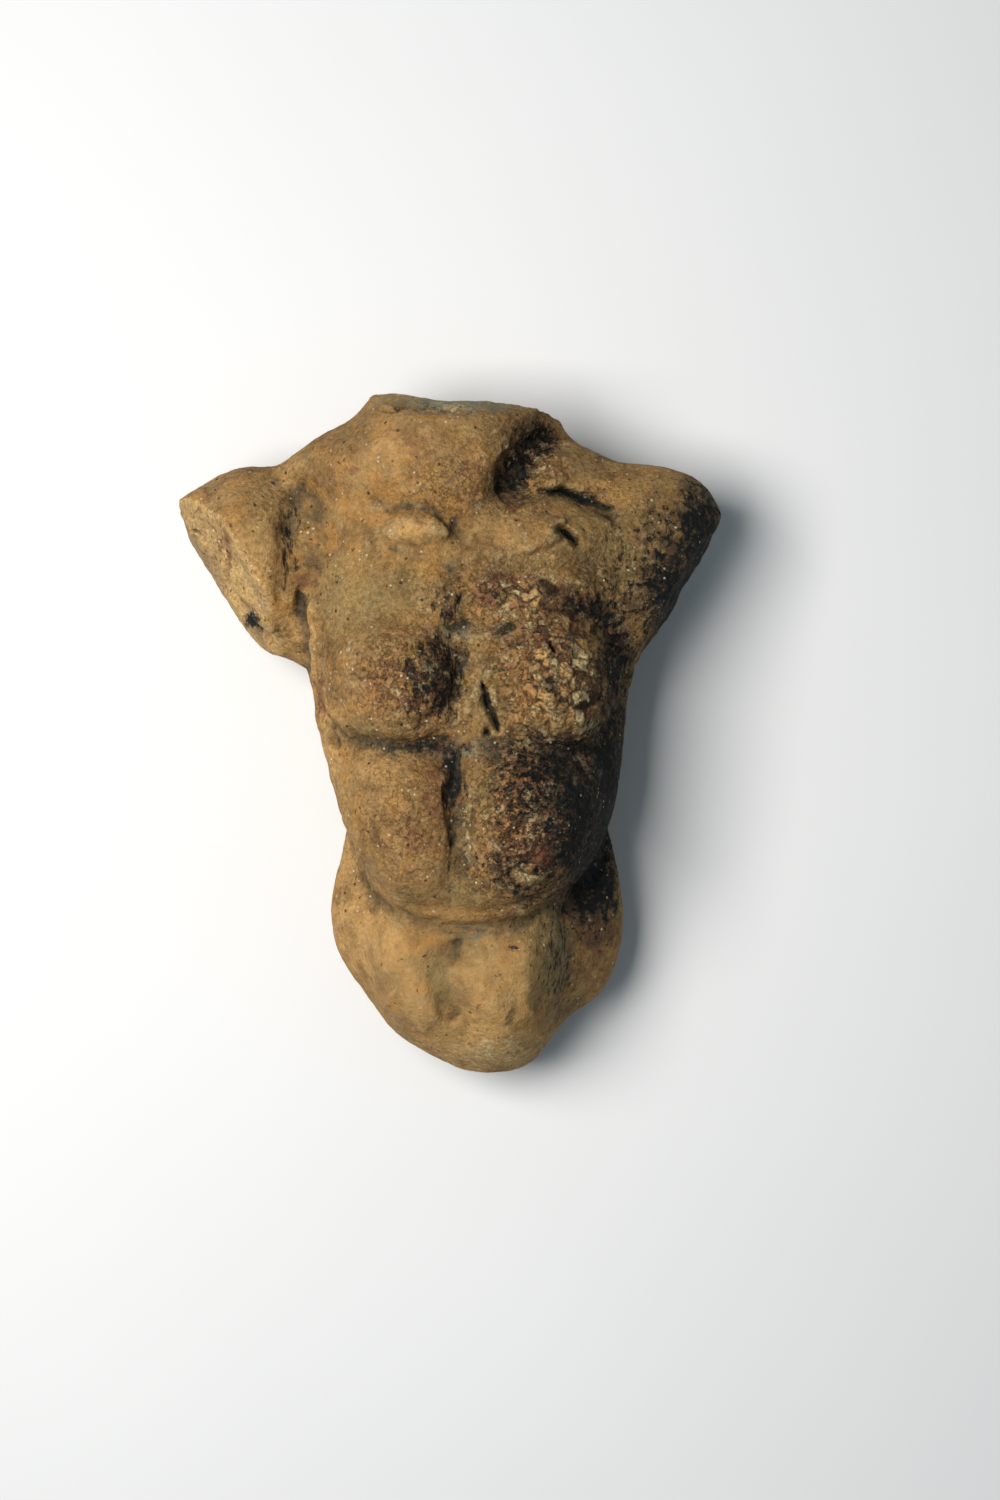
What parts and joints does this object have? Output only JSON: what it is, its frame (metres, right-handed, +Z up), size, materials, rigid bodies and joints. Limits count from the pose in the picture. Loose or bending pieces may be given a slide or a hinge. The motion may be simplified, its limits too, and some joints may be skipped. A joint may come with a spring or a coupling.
{
  "type": "figurine torso fragment",
  "caption": "Broken fired-clay figurine: muscular male torso without head, arms or legs, lying on its back, with worn breaks at neck, shoulders and hips.",
  "frame": {"origin": "middle of the bounding box in plan, on the plane that the back rests on", "axes": "+X to the right and +Y towards the neck for someone looking down on the chest, +Z up from the back to the chest"},
  "size_m": [0.0696, 0.0864, 0.035],
  "materials": {
    "terracotta": "matt, worn fired clay, orange-brown, with dark and cream dirt in the hollows"
  },
  "bodies": {
    "root": {"torso": "terracotta"}
  },
  "joints": []
}
